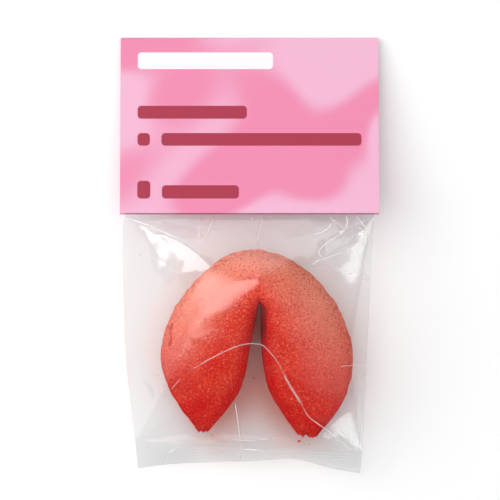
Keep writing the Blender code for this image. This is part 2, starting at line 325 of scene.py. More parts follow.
def bakedWafer():
    # A wafer batter coloured red, poured thin and baked between plates: a dry matt crust,
    # open with fine pores where steam left, and speckled by paler flour grain.
    material, tree, output = newMaterial("baked red wafer")
    place = addNode(tree, "TexCoord").outputs["Object"]
    tear = addNode(tree, "Attribute", {"attribute_name": "tear"}).outputs["Fac"]
    toTip = addNode(tree, "Attribute", {"attribute_name": "toTip"}).outputs["Fac"]
    toRim = addNode(tree, "Attribute", {"attribute_name": "toRim"}).outputs["Fac"]

    patches = addNode(tree, "TexNoise", {"Scale": 1 / (crust["patchSize"] * mm), "Detail": 3.0},
                      {"Vector": place})
    patchRange = addNode(tree, "MapRange", {1: 0.35, 2: 0.65}, {0: patches.outputs["Fac"]})
    # Painted shade: the colour is painted deeper near the fold, where the slit's flanks are in shade
    foldShadeDeepening = addNode(tree, "Attribute", {"attribute_name": "foldShadeDeepening"}).outputs["Fac"]
    # Painted shade: deeper colour towards the tips, where the horns turn down away from the light
    deeper = addNode(tree, "Math", {"operation": "MULTIPLY_ADD", 1: crust["tipDepth"]},
                     {0: toTip, 2: foldShadeDeepening})
    depth = addNode(tree, "Math", {"operation": "MULTIPLY_ADD", 1: crust["patchDepth"], "use_clamp": True},
                    {0: patchRange.outputs[0], 2: deeper.outputs[0]})
    tone = addNode(tree, "Mix", {"data_type": "RGBA", 6: linear(crust["base"]), 7: linear(crust["deep"])},
                   {0: depth.outputs[0]})

    grainScale = 1 / (crust["grainSize"] * mm)
    grain = addNode(tree, "TexNoise", {"Scale": grainScale, "Detail": 3.0, "Roughness": 0.7},
                    {"Vector": place})
    # Paler towards the rim, as the thin sheet bakes, and partly a painted highlight standing in for the
    # film's glare over the top
    awayFromTip = addNode(tree, "MapRange", {1: 0.35, 2: 0.8, 3: crust["rimPaleness"], 4: 0.0}, {0: toTip})
    atRim = addNode(tree, "MapRange", {1: 0.4, 2: 0.9}, {0: toRim})
    rimPale = addNode(tree, "Math", {"operation": "MULTIPLY"},
                      {0: awayFromTip.outputs[0], 1: atRim.outputs[0]})
    rimTone = addNode(tree, "Mix", {"data_type": "RGBA", 7: linear(crust["pale"])},
                      {0: rimPale.outputs[0], 6: tone.outputs[2]})
    # The deeper the colour, the less pale the speckles
    paleShare = addNode(tree, "MapRange", {1: 0.0, 2: 0.85, 3: 0.95, 4: 0.3}, {0: depth.outputs[0]})
    speckle = addNode(tree, "MapRange", {1: crust["speckles"][0], 2: crust["speckles"][1]},
                      {0: grain.outputs["Fac"], 4: paleShare.outputs[0]})
    lighter = addNode(tree, "Mix", {"data_type": "RGBA", 7: linear(crust["pale"])},
                      {0: speckle.outputs[0], 6: rimTone.outputs[2]})
    hollow = addNode(tree, "MapRange",
                     {1: crust["hollows"][0], 2: crust["hollows"][1], 3: 0.0, 4: crust["hollowDark"]},
                     {0: grain.outputs["Fac"]})
    grainy = addNode(tree, "Mix", {"data_type": "RGBA", 7: linear(crust["pore"])},
                     {0: hollow.outputs[0], 6: lighter.outputs[2]})

    cells = addNode(tree, "TexVoronoi", {"Scale": 1 / (crust["poreSpacing"] * mm), "Randomness": 1.0},
                    {"Vector": place})
    change = addNode(tree, "TexNoise", {"Scale": 1 / (crust["poreChange"] * mm), "Detail": 1.0},
                     {"Vector": place})
    # Larger pores where the sheet was stretched, round the middle of the fold
    nearFold = addNode(tree, "MapRange", {1: 0.05, 2: 0.5, 3: crust["stretchedPores"], 4: 0.0}, {0: toRim})
    nearMiddle = addNode(tree, "MapRange", {1: 0.1, 2: 0.5, 3: 1.0, 4: 0.0}, {0: toTip})
    steamed = addNode(tree, "MapRange", {1: 0.3, 2: 0.7, 3: crust["poreSizes"][0], 4: crust["poreSizes"][1]},
                      {0: change.outputs["Fac"]})
    poreSize = addNode(tree, "Math", {"operation": "MULTIPLY_ADD"},
                       {0: nearFold.outputs[0], 1: nearMiddle.outputs[0], 2: steamed.outputs[0]})
    inPore = addNode(tree, "Math", {"operation": "DIVIDE"},
                     {0: cells.outputs["Distance"], 1: poreSize.outputs[0]})
    pore = addNode(tree, "MapRange", {1: 0.55, 2: 1.0, 3: 1.0, 4: 0.0, "interpolation_type": "SMOOTHSTEP"},
                   {0: inPore.outputs[0]})
    # Painted shade: dark spots along the rim, where the gap between the two layers is in shade
    rimShadeNoise = addNode(tree, "TexNoise", {"Scale": 1 / (crust["rimShadeSize"] * mm), "Detail": 3.0},
                       {"Vector": place})
    nearRim = addNode(tree, "MapRange", {1: 0.93, 2: 0.975, 4: 0.5}, {0: toRim})
    rimShadeSpots = addNode(tree, "MapRange", {1: 0.5, 2: 0.62}, {0: rimShadeNoise.outputs["Fac"]})
    rimCreviceShade = addNode(tree, "Math", {"operation": "MULTIPLY"},
                      {0: nearRim.outputs[0], 1: rimShadeSpots.outputs[0]})
    tearCore = addNode(tree, "MapRange", {1: 0.25, 2: 0.8}, {0: tear})
    dark = addNode(tree, "Math", {"operation": "MAXIMUM"}, {0: pore.outputs[0], 1: rimCreviceShade.outputs[0]})
    porous = addNode(tree, "Mix", {"data_type": "RGBA", 7: linear(crust["pore"])},
                     {0: dark.outputs[0], 6: grainy.outputs[2]})
    torn = addNode(tree, "Mix", {"data_type": "RGBA", 7: linear(crust["torn"])},
                   {0: tearCore.outputs[0], 6: porous.outputs[2]})
    # Painted shadow: a dark strip by the fold of the right half, where the slit's inner wall is in shade
    foldDark = addNode(tree, "Attribute", {"attribute_name": "foldDark"}).outputs["Fac"]
    color = addNode(tree, "Mix", {"data_type": "RGBA", 7: linear(crust["fold"])},
                    {0: foldDark, 6: torn.outputs[2]})

    relief = addNode(tree, "Math", {"operation": "MULTIPLY_ADD", 1: -0.8},
                     {0: pore.outputs[0], 2: grain.outputs["Fac"]})
    bump = addNode(tree, "Bump", {"Strength": 0.75, "Distance": crust["relief"] * mm},
                   {"Height": relief.outputs[0]})
    surface = addNode(tree, "BsdfPrincipled",
                      {"Roughness": crust["roughness"], "IOR": 1.45, "Specular IOR Level": 0.05},
                      {"Base Color": color.outputs[2], "Normal": bump.outputs[0]})
    tree.links.new(surface.outputs[0], output.inputs["Surface"])
    return material


waferMaterial = bakedWafer()
cookie = buildWafer(waferMaterial)
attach(cookie, "root")
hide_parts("cookie")
print("folded wafer made:", len(cookie.data.polygons), "faces")


# The bag: a flat tube of clear polypropylene, taut over the cookie and heat-sealed at its lower end.
# Lengths are in mm.
bag = {
    # Edges, as x, y and height above the floor
    "leftEdge": [(-39.0, 12.4, 12.8), (-39.8, 2.8, 11.6), (-38.8, -30.7, 9.2), (-37.4, -45.5, 7.2),
                 (-35.9, -58.4, 5.0)],
    "rightEdge": [(38.9, 12.4, 12.8), (38.0, -7.7, 10.6), (36.6, -34.8, 9.0), (36.1, -48.0, 7.4),
                  (35.6, -61.5, 5.8)],
    "sealEdge": [(-35.1, -67.0, 1.4), (-21.9, -65.4, 3.2), (0.2, -64.6, 4.8), (14.3, -64.0, 5.2),
                 (25.4, -66.8, 4.4), (34.7, -68.5, 2.8)],
    "sealBow": 1.2,
    "overCookie": 1.15,          # from the cookie to the film
    "plyGap": 0.12,              # half the gap between the plies where they lie together
    "mouthLift": 0.4,            # inner end of the mouth, above the lowest corner of its solid
    "lowest": {1: 0.3, -1: 0.02},    # least height above the floor of the front and the back ply
    "hullSlices": 48,
    "hullPoints": 24,
    "columns": 190,
    "mouthRows": 6,
    "bodyRows": 150,
    "sealRows": 44,
    "calmEdge": 0.0375,          # share of the width over which the creasing dies out at the sides
    "calmRows": (6, 8),          # rows over which it does so at the mouth and at the seal
    "cuspSpacing": 9.0,          # of the small cusps between the given ones
    "cuspShift": 3.0,            # at most, each its own way
    "cuspHeights": (-0.25, 0.35),
    "cuspClearance": 4.5,        # least distance from another cusp
    "ribPitch": 1.0,             # of the heat-sealing jaws
    "ribHeight": 0.42,
    "ribsFrom": -26.0,           # x; the seal is smooth to the left of it
    "ribsFade": 14.0,            # and the ribs reach their full height over this length
    "redShadeReach": 7.0,            # from the halves' inner edges, over which a painted red shade lies on the back ply, for the shadow and red bounce light between the horns
    "redShadeFull": 19.0,            # points of those edges near a place at which that painted shade is strongest
    "ripple": 0.05,              # slow unevenness of the film
    "rippleSize": 9.0,
    "seed": 5,
}
# Cusps of the creased film, in mm: x, y and how far the film stands out there
frontRelief = [
    (-38.3, 11.5, 0.0), (-32.9, 9.9, 0.7), (-26.6, 7.1, 1.1), (-21.3, 4.6, 1.2), (-16.2, 0.5, 0.7),
    (-29.6, 6.6, 0.6), (-24.6, 3.2, 0.6), (-19.6, -0.3, 0.4), (-31.0, 0.6, 0.2), (-26.0, -2.8, -0.3),
    (-21.4, -5.4, -0.3), (-34.8, -1.0, -0.2), (-30.5, -7.0, -0.3), (-25.5, -10.5, -0.3),
    (-34.0, -11.5, -0.2), (-27.0, 11.0, -0.5), (-18.0, 9.0, -0.7),
    (-15.9, 12.0, 0.2), (-11.0, 12.1, 0.5), (-13.6, 6.1, 0.5), (-9.0, 8.0, -0.2), (-6.0, 5.0, 0.1),
    (4.7, 12.0, 0.5), (2.2, 3.9, 0.4), (0.0, 9.0, -0.1), (8.0, 8.0, -0.1), (12.0, 5.0, 0.3),
    (20.2, 6.8, 0.9), (25.7, 11.5, 0.9), (22.9, 9.0, 1.0), (16.0, 10.0, -0.3), (24.0, 5.0, -0.2),
    (21.6, 1.1, 0.8), (30.1, 8.0, 1.1), (36.0, 7.6, 1.0), (30.0, 3.4, 0.9), (28.6, 5.4, -0.9),
    (23.2, -0.8, 0.9), (33.5, 6.3, -1.0), (31.5, 12.0, -0.4), (35.3, 11.0, 0.8), (37.6, 10.0, 0.2),
    (33.6, 9.6, 0.2),
    (19.4, -3.0, 0.9), (37.2, -7.9, 0.5), (28.0, -3.0, -0.3), (31.0, -1.0, -0.2), (34.0, 1.5, 0.3),
    (26.0, -8.0, 0.4), (33.0, -16.0, 0.3),
    (-36.0, -20.0, 0.3), (-33.0, -28.0, -0.3), (-34.0, -38.0, 0.4), (-30.0, -46.0, -0.2),
    (-32.0, -54.0, 0.3), (-24.0, -52.0, 0.3), (-20.0, -58.0, -0.2), (-12.0, -60.0, 0.3),
    (-5.0, -57.0, -0.3), (3.0, -59.0, 0.4),
    (7.0, -53.0, -0.3), (10.0, -58.0, 0.3), (0.0, -48.0, -0.4), (24.7, -55.0, 0.6), (30.1, -59.4, 0.7),
    (33.0, -52.0, 0.1), (26.3, -50.0, 0.0), (31.5, -56.0, 0.2), (34.8, -46.0, 0.4), (32.0, -42.0, -0.2),
    (17.0, -40.5, 0.6), (23.5, -42.0, 0.6), (28.5, -43.0, 0.3),
    (36.0, -34.8, 0.3), (33.0, -30.0, 0.1),
    # where the film is stretched over the cookie
    (-12.5, -3.9, 0.2), (3.9, -10.6, 0.4), (-10.9, -17.5, 0.5), (-11.3, -21.9, 0.2), (-16.9, -9.6, 0.4),
    (-21.6, -18.4, 0.5), (-19.1, -25.4, 0.3), (-26.9, -33.3, 0.3), (-22.5, -32.6, 0.5), (-5.5, -28.8, 0.6),
    (-18.8, -36.1, 0.5), (5.2, -28.8, 0.4), (10.9, -37.4, 0.5), (18.4, -50.0, 0.6), (2.7, -7.4, 0.5),
    (15.6, -4.3, 0.4), (14.0, -18.0, 0.1), (22.0, -26.0, 0.3), (26.0, -36.0, 0.1), (16.0, -30.0, 0.2),
]
# Creases that catch the light, in mm: path, width, height and how white the film has gone there
creases = [
    ([(-24.4, -41.8), (-21.5, -38.4)], 0.5, 0.1, 0.25),
    ([(-18.8, -36.1), (-12.5, -32.3), (-5.5, -28.8), (-1.0, -27.5), (1.1, -27.4), (3.6, -27.7), (5.2, -28.8),
      (8.4, -32.6), (10.9, -37.4)], 0.46, 0.15, 0.38),
    ([(10.4, -36.4), (12.2, -39.8), (14.3, -43.3), (16.6, -46.9)], 0.9, 0.3, 0.42),
    ([(16.2, -46.4), (18.4, -50.2), (21.5, -52.7), (24.7, -55.0), (30.1, -59.4), (34.2, -62.6)],
     0.38, 0.25, 0.6),
    ([(-38.6, 11.5), (-32.9, 9.9), (-29.5, 8.6), (-26.6, 7.1), (-21.3, 4.6)], 0.36, 0.25, 0.9),
    ([(-15.9, 13.1), (-15.8, 8.0), (-15.9, 1.7), (-16.1, -4.4)], 0.3, 0.15, 0.6),
    ([(-4.6, -45.5), (-3.9, -50.0), (-3.2, -55.3), (-2.9, -57.6)], 0.45, 0.15, 0.8),
    ([(-2.8, -57.9), (-2.8, -61.3), (-2.9, -64.5)], 0.3, 0.1, 0.4),
    ([(-11.0, 12.6), (-11.9, 9.6), (-13.6, 6.1), (-15.2, 3.0)], 0.3, 0.12, 0.45),
    ([(-11.9, 7.7), (-9.4, 7.0)], 0.3, 0.1, 0.5),
    ([(4.7, 12.5), (3.6, 9.4), (2.2, 3.9)], 0.3, 0.12, 0.35),
    ([(0.4, 12.4), (1.2, 10.0)], 0.3, 0.12, 0.5),
    ([(2.2, 7.4), (3.0, 2.4)], 0.25, 0.1, 0.2),
    ([(25.5, 10.6), (24.6, 8.6), (22.0, 7.0), (20.4, 6.7), (20.2, 6.2)], 0.4, 0.25, 0.9),
    ([(25.2, 12.3), (25.7, 11.3), (28.0, 10.4)], 0.3, 0.15, 0.5),
    ([(30.3, 7.6), (28.0, 6.4), (24.6, 4.4), (22.4, 2.3), (21.5, 0.9), (22.3, -0.4), (23.3, -1.0),
      (26.5, 0.2), (30.2, 1.6), (33.6, 3.4), (36.1, 5.6), (37.0, 7.2)], 0.38, 0.3, 0.9),
    ([(23.4, 0.6), (26.0, 3.2), (29.2, 5.6)], 0.3, 0.15, 0.4),
    ([(33.1, 12.7), (34.9, 10.4), (36.6, 7.9)], 0.36, 0.25, 0.9),
    ([(30.2, 12.8), (30.6, 10.4), (29.8, 8.0)], 0.5, 0.3, 0.9),
    ([(36.5, 6.3), (36.3, 4.9), (36.5, 3.7)], 0.55, 0.2, 0.9),
    ([(30.4, 5.0), (33.2, 6.2), (36.0, 7.4)], 0.3, 0.2, 0.5),
    ([(19.2, -3.0), (21.0, -1.7), (23.0, -1.0)], 0.45, 0.2, 0.7),
    ([(33.6, 1.2), (35.2, -2.6), (37.2, -7.6)], 0.28, 0.12, 0.45),
    ([(19.6, -3.4), (24.0, -3.2), (31.0, -5.6), (37.2, -7.9)], 0.28, 0.1, 0.3),
    ([(35.8, -34.8), (35.6, -44.0), (34.9, -54.0), (34.2, -62.0)], 0.35, 0.2, 0.5),
    ([(27.8, -34.6), (32.0, -34.3), (35.8, -34.4)], 0.3, 0.12, 0.5),
    ([(34.4, -40.0), (33.6, -45.0), (33.2, -52.0)], 0.3, 0.15, 0.3),
    ([(26.8, -53.4), (30.4, -57.0), (33.6, -61.6)], 0.3, 0.2, 0.6),
    ([(-26.9, -65.6), (-26.6, -63.6), (-24.4, -61.3), (-21.9, -60.7)], 0.4, 0.12, 0.55),
    ([(-2.4, -61.0), (0.6, -60.9), (3.4, -61.6), (4.6, -62.1)], 0.5, 0.15, 0.9),
    ([(-6.6, -57.6), (-4.0, -57.9), (-1.4, -58.0), (2.4, -57.9)], 0.35, 0.12, 0.6),
    ([(3.4, -57.8), (5.0, -57.5), (6.0, -57.9)], 0.45, 0.12, 0.7),
]
# Across such a crease: shares of its width and of its height
creaseProfile = [(-0.5, -0.02), (-0.18, 0.8), (0.18, 0.8), (0.5, -0.02)]


def bagHull():
    # The form that the taut film takes: round the grown cookie and out to the flat edges
    b = bag
    grow = b["overCookie"] * mm
    order, share, fold, rim, outward, t, height, lip = waferSlices(b["hullSlices"], b["hullPoints"], grow)
    flat = fold[:, None, :] + (rim - fold)[:, None, :] * t[None, :, None]
    for end, inner in ((0, 1), (-1, -2)):
        step = fold[end] - fold[inner]
        flat[end] += step / np.linalg.norm(step) * grow
    layers = [np.concatenate([flat, sign * height[:, :, None]], axis=2).reshape(-1, 3) for sign in (1, -1)]
    grown = waferPlace(np.concatenate(layers))
    middle = (cookieLow.z + cookieHigh.z) / 2
    grown[:, 2] += middle - (grown[:, 2].max() + grown[:, 2].min()) / 2
    grown[:, 2] = np.maximum(grown[:, 2], 0.05 * mm)     # flat where it rests on the table
    left, right = smoothPath(b["leftEdge"], 8), smoothPath(b["rightEdge"], 8)
    u = np.linspace(0, 1, 31)[:, None]
    bow = b["sealBow"] * mm * np.sin(math.pi * u)
    edges = np.vstack([left, right, left[-1] + (right[-1] - left[-1]) * u + bow * [0, 0, 1]])
    points = [grown] + [edges + [0, 0, sign * b["plyGap"] * mm] for sign in (1, -1)]
    form = bmesh.new()
    for point in np.vstack(points):
        form.verts.new(point)
    bmesh.ops.convex_hull(form, input=form.verts[:])
    tree = BVHTree.FromBMesh(form)
    form.free()
    return tree


def reliefOver(places, cusps):
    # Flat facets between the cusps of the creased film, so that each catches the light its own way
    spots = [Vector(c[:2]) for c in cusps]
    corners, _, triangles, _, _, _ = geometry.delaunay_2d_cdt(spots, [], [], 0, 1e-6)
    heights = np.array([min(cusps, key=lambda c: (c[0] - p.x) ** 2 + (c[1] - p.y) ** 2)[2] for p in corners])
    flat = places[:, :2] / mm
    total = np.zeros(len(places))
    for triangle in triangles:
        a, b, c = (np.array(corners[k]) for k in triangle)
        area = (b[0] - a[0]) * (c[1] - a[1]) - (c[0] - a[0]) * (b[1] - a[1])
        if abs(area) < 1e-9:
            continue
        near = np.all((flat >= np.minimum(np.minimum(a, b), c) - 1e-6)
                      & (flat <= np.maximum(np.maximum(a, b), c) + 1e-6), axis=1)
        offset = flat[near] - a
        second = (offset[:, 0] * (c[1] - a[1]) - (c[0] - a[0]) * offset[:, 1]) / area
        third = ((b[0] - a[0]) * offset[:, 1] - offset[:, 0] * (b[1] - a[1])) / area
        inside = (second >= -1e-6) & (third >= -1e-6) & (second + third <= 1 + 1e-6)
        values = (1 - second - third) * heights[triangle[0]] + second * heights[triangle[1]]
        values += third * heights[triangle[2]]
        total[np.flatnonzero(near)[inside]] = values[inside]
    return total


def spreadCusps(given, seed):
    # A flat border just outside the sheet, and small cusps that fill the rest of it
    b = bag
    draw = random.Random(seed)
    cusps = list(given) + [(x, y, 0.0) for x in range(-42, 43, 6) for y in (14, -70)]
    cusps += [(x, y, 0.0) for x in (-41, 41) for y in range(-66, 14, 8)]
    for y in np.arange(-62, 12, b["cuspSpacing"]):
        for x in np.arange(-36, 37, b["cuspSpacing"]):
            spotX = x + draw.uniform(-b["cuspShift"], b["cuspShift"])
            spotY = y + draw.uniform(-b["cuspShift"], b["cuspShift"])
            height = draw.uniform(*b["cuspHeights"])
            if min(math.dist((spotX, spotY), c[:2]) for c in cusps) > b["cuspClearance"]:
                cusps.append((spotX, spotY, height))
    return cusps


def paintedRedShade(places):
    # Painted shade and painted red bounce light on the back ply, strongest between the cookie's two halves
    edges = np.vstack([smoothPath(wafer[name], 5) for name in ("foldLeft", "foldRight")])
    edges = edges[:, :2] + np.array([wafer["x"], wafer["y"]]) * mm
    gaps = np.linalg.norm(places[:, None, :2] - edges[None], axis=2) / (bag["redShadeReach"] * mm)
    return np.clip(np.exp(-gaps ** 2).sum(axis=1) / bag["redShadeFull"], 0, 1)


def filmPly(sign, cusps, hull):
    # One ply, from its mouth inside the card down to the sealed end; sign is 1 in front and -1 behind
    b = bag
    left, right = smoothPath(b["leftEdge"]), smoothPath(b["rightEdge"])
    u = np.arange(b["columns"] + 1) / b["columns"]
    gap = np.array([0, 0, sign * b["plyGap"] * mm])
    top = left[0] + (right[0] - left[0]) * u[:, None]
    sealTop = left[-1] + (right[-1] - left[-1]) * u[:, None]
    sealTop[:, 2] += b["sealBow"] * mm * np.sin(math.pi * u)
    sealLow = alongPath(smoothPath(b["sealEdge"]), u)
    inner = top * [1, 0, 0] + [0, mouthHigh.y, mouthLow.z + b["mouthLift"] * mm] + gap
    rows = [inner + (top + gap - inner) * (i / b["mouthRows"]) for i in range(b["mouthRows"])]
    for i in range(b["bodyRows"]):
        y = top[:, 1] + (sealTop[:, 1] - top[:, 1]) * (i / b["bodyRows"])
        edgeX = [np.interp(-y, -edge[:, 1], edge[:, 0]) for edge in (left, right)]
        edgeZ = [np.interp(-y, -edge[:, 1], edge[:, 2]) for edge in (left, right)]
        x = edgeX[0] + (edgeX[1] - edgeX[0]) * u
        z = edgeZ[0] + (edgeZ[1] - edgeZ[0]) * u + gap[2]
        for k in range(1, len(u) - 1):
            hit = hull.ray_cast(Vector((x[k], y[k], sign)), Vector((0, 0, -sign)))[0]
            if hit:
                z[k] = hit.z
        rows.append(np.column_stack([x, y, z]))
    body = np.array(rows)
    flat = body.reshape(-1, 3)
    lift = reliefOver(flat, cusps) + b["ripple"] * wander(flat / mm, b["rippleSize"], b["seed"] + sign)
    # The creasing dies out towards the straight sides, the mouth and the seal
    number = np.arange(len(rows))
    atMouth, atSeal = b["calmRows"]
    calm = fade(number, b["mouthRows"], b["mouthRows"] + atMouth)
    calm = calm * fade(number, len(rows), len(rows) - atSeal)
    calm = calm[:, None] * fade(np.minimum(u, 1 - u), 0, b["calmEdge"])[None, :]
    body[:, :, 2] += sign * mm * lift.reshape(body.shape[:2]) * calm

    # The seal: the plies close up over its first fifth, and the ribs run slightly wavy along it
    seal = []
    depths = np.linalg.norm(sealLow - sealTop, axis=1)
    for i in range(b["sealRows"] + 1):
        down = i / b["sealRows"]
        row = sealTop + (sealLow - sealTop) * down + gap * (1 - 0.6 * min(1, down * 5))
        turns = 2 * math.pi * depths * down / (b["ribPitch"] * mm) + 0.3 * np.sin(row[:, 0] / (6 * mm))
        pressed = fade(row[:, 0] / mm, b["ribsFrom"], b["ribsFrom"] + b["ribsFade"])
        pressed = pressed * min(1, down * 6) * min(1, (1 - down) * 8)
        row[:, 2] += (0.5 + 0.5 * np.sin(turns)) * pressed * b["ribHeight"] * mm
        seal.append(row)
    sheet = np.concatenate([body, np.array(seal)])
    sheet[:, :, 2] = np.maximum(sheet[:, :, 2], b["lowest"][sign] * mm)
    return sheet


def raiseCreases(front, base):
    # A narrow ridge of film along each crease of the front ply
    points, faces, white = [], [], []
    ground = 0.0
    for path, width, height, whiteness in creases:
        line = smoothPath(path, 10)
        length = np.linalg.norm(np.diff(line, axis=0), axis=1).sum()
        line = alongPath(line, np.linspace(0, 1, max(4, int(length / (0.5 * mm)))))
        ahead = np.gradient(line, axis=0)
        side = np.column_stack([-ahead[:, 1], ahead[:, 0]]) / np.linalg.norm(ahead, axis=1, keepdims=True)
        t = np.linspace(0, 1, len(line))
        taper = np.minimum(1, 4 * np.minimum(t, 1 - t) + 0.35)
        faces += gridFaces(len(line), len(creaseProfile), base + len(points))
        for place, aside, thin in zip(line, side, taper):
            for across, up in creaseProfile:
                x, y = place + aside * across * width * thin * mm
                hit = front.ray_cast(Vector((x, y, 1.0)), Vector((0, 0, -1)))[0]
                ground = hit.z if hit else ground
                points.append(np.array([x, y, ground + up * height * thin * mm]))
                white.append(whiteness * thin if up > 0 else 0.0)
    return points, faces, white


def buildFilm(material):
    hull = bagHull()
    sheets = {
        1: filmPly(1, spreadCusps(frontRelief, bag["seed"]), hull),
        -1: filmPly(-1, spreadCusps([], bag["seed"] + 1), hull),
    }
    points, faces, redShade = [], [], []
    for sign, sheet in sheets.items():
        made = gridFaces(len(sheet), bag["columns"] + 1, len(points))
        faces += made if sign > 0 else [face[::-1] for face in made]      # both face outwards
        points += list(sheet.reshape(-1, 3))
        redShade += list(paintedRedShade(sheet.reshape(-1, 3)) * (sign < 0))
    half = len(points) // 2
    front = BVHTree.FromPolygons([tuple(p) for p in points[:half]], faces[:len(faces) // 2])
    ridges, ridgeFaces, ridgeWhite = raiseCreases(front, len(points))

    # The front ply is taut where the cookie lies under it
    mesh = cookie.data
    under = BVHTree.FromPolygons([v.co for v in mesh.vertices], [p.vertices for p in mesh.polygons])
    taut = [under.ray_cast(Vector(p), Vector((0, 0, -1)))[0] is not None for p in points[:half]]
    marks = {
        "whitened": [0.0] * len(points) + ridgeWhite,
        "redShadeMask": redShade + [0.0] * len(ridges),
        "taut": taut + [0.0] * (half + len(ridges)),
    }
    return newPiece("bag_film", points + ridges, faces + ridgeFaces, material, marks), sheets


filmLook = {
    "ior": 1.5,
    "roughness": 0.12,
    "tautRoughness": 0.3,        # where it is stretched over the crust and takes its grain
    "tint": "#fafbfb",
    # the next colour is painted shade: the red-tinted shadow and bounce light between the cookie's halves
    "redShade": "#f2bcb0",
    "white": "#fdfcfb",          # of creased film
    "haze": 0.002,
    "creaseHaze": 0.9,
    "scuffSize": 5.0,            # mm
    "waviness": 2.2,             # mm
    "waveHeight": 0.08,          # mm
}


def clearPolypropylene():
    # Cast polypropylene film 0.03 mm thick, drawn as one surface for its two faces: clear, glossy,
    # with a trace of haze, and gone white where it has been creased.
    material, tree, output = newMaterial("clear polypropylene film")
    place = addNode(tree, "TexCoord").outputs["Object"]
    whitened = addNode(tree, "Attribute", {"attribute_name": "whitened"}).outputs["Fac"]
    waves = addNode(tree, "TexNoise", {"Scale": 1 / (filmLook["waviness"] * mm), "Detail": 2.0},
                    {"Vector": place})
    bump = addNode(tree, "Bump", {"Strength": 0.12, "Distance": filmLook["waveHeight"] * mm},
                   {"Height": waves.outputs["Fac"]})
    # Painted shade: the film is tinted darker red between the cookie's halves, for the shadow and red bounce
    # light there
    redShadeMask = addNode(tree, "Attribute", {"attribute_name": "redShadeMask"}).outputs["Fac"]
    colors = {6: linear(filmLook["tint"]), 7: linear(filmLook["redShade"])}
    tint = addNode(tree, "Mix", {"data_type": "RGBA", **colors}, {0: redShadeMask})
    clear = addNode(tree, "BsdfTransparent", None, {"Color": tint.outputs[2]})
    taut = addNode(tree, "Attribute", {"attribute_name": "taut"}).outputs["Fac"]
    roughness = addNode(tree, "MapRange", {3: filmLook["roughness"], 4: filmLook["tautRoughness"]},
                        {0: taut})
    gloss = addNode(tree, "BsdfAnisotropic", {"Color": (1, 1, 1, 1)},
                    {"Roughness": roughness.outputs[0], "Normal": bump.outputs[0]})
    milky = addNode(tree, "BsdfDiffuse", {"Color": linear(filmLook["white"])})
    through = addNode(tree, "BsdfTranslucent", {"Color": linear(filmLook["white"])})
    cloud = addNode(tree, "MixShader", {0: 0.1}, {1: milky.outputs[0], 2: through.outputs[0]})
    scuffScale = 1 / (filmLook["scuffSize"] * mm)
    scuffs = addNode(tree, "TexNoise", {"Scale": scuffScale, "Detail": 4.0, "Distortion": 0.6},
                     {"Vector": place})
    scuffed = addNode(tree, "MapRange", {1: 0.4, 2: 0.75, 3: 0.6, 4: 1.8}, {0: scuffs.outputs["Fac"]})
    haze = addNode(tree, "Math", {"operation": "MULTIPLY", 1: filmLook["haze"]}, {0: scuffed.outputs[0]})
    cloudy = addNode(tree, "Math",
                     {"operation": "MULTIPLY_ADD", 1: filmLook["creaseHaze"], "use_clamp": True},
                     {0: whitened, 2: haze.outputs[0]})
    body = addNode(tree, "MixShader", None, {0: cloudy.outputs[0], 1: clear.outputs[0], 2: cloud.outputs[0]})
    # Reflection of both faces together: the same from inside and outside the bag
    straightOn = 2 * ((filmLook["ior"] - 1) / (filmLook["ior"] + 1)) ** 2
    facing = addNode(tree, "LayerWeight", {"Blend": 0.5}, {"Normal": bump.outputs[0]})
    grazing = addNode(tree, "Math", {"operation": "POWER", 1: 5.0}, {0: facing.outputs["Facing"]})
    mirrored = addNode(tree, "MapRange", {3: straightOn, 4: 1.0}, {0: grazing.outputs[0]})
    unbroken = addNode(tree, "Math", {"operation": "SUBTRACT", 0: 1.0}, {1: whitened})
    shine = addNode(tree, "Math", {"operation": "MULTIPLY"},
                    {0: mirrored.outputs[0], 1: unbroken.outputs[0]})
    sheet = addNode(tree, "MixShader", None, {0: shine.outputs[0], 1: body.outputs[0], 2: gloss.outputs[0]})
    tree.links.new(sheet.outputs[0], output.inputs["Surface"])
    return material


film, sheets = buildFilm(clearPolypropylene())
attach(film, "root")
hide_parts("bag", "bag_mouth")
print("bag film made:", len(film.data.polygons), "faces")


# Crumbs of the wafer, lying on the back ply
crumbs = {
    # x, y and size in mm
    "spots": [(-34.2, 0.2, 0.35), (-37.4, -5.8, 0.25), (-28.8, -37.7, 0.4), (1.4, -38.6, 0.5),
              (15.6, -58.4, 0.8), (18.8, -59.2, 0.45), (-11.8, -56.6, 0.45), (6.6, -57.5, 0.35),
              (-5.6, -56.4, 0.3), (-32.0, -60.3, 0.35)],
    "seed": 8,
}


def buildCrumbs(material):
    draw = random.Random(crumbs["seed"])
    form = bmesh.new()
    back = sheets[-1].reshape(-1, 3)
    for x, y, size in crumbs["spots"]:
        nearest = back[np.argmin((back[:, 0] - x * mm) ** 2 + (back[:, 1] - y * mm) ** 2)]
        made = bmesh.ops.create_icosphere(form, subdivisions=2, radius=size * mm / 2)["verts"]
        # Flat rough flakes, each its own way
        stretch = Vector((draw.uniform(0.9, 1.6), draw.uniform(0.6, 1.0), draw.uniform(0.4, 0.7)))
        for corner in made:
            corner.co *= draw.uniform(0.75, 1.15)
            corner.co = corner.co * stretch + Vector((x * mm, y * mm, nearest[2] + size * mm * 0.3))
    mesh = bpy.data.meshes.new("crumbs")
    form.to_mesh(mesh)
    form.free()
    mesh.materials.append(material)
    piece = bpy.data.objects.new("crumbs", mesh)
    bpy.context.scene.collection.objects.link(piece)
    return piece


crumbPiece = buildCrumbs(waferMaterial)
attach(crumbPiece, "root")
print("crumbs made:", len(crumbs["spots"]))


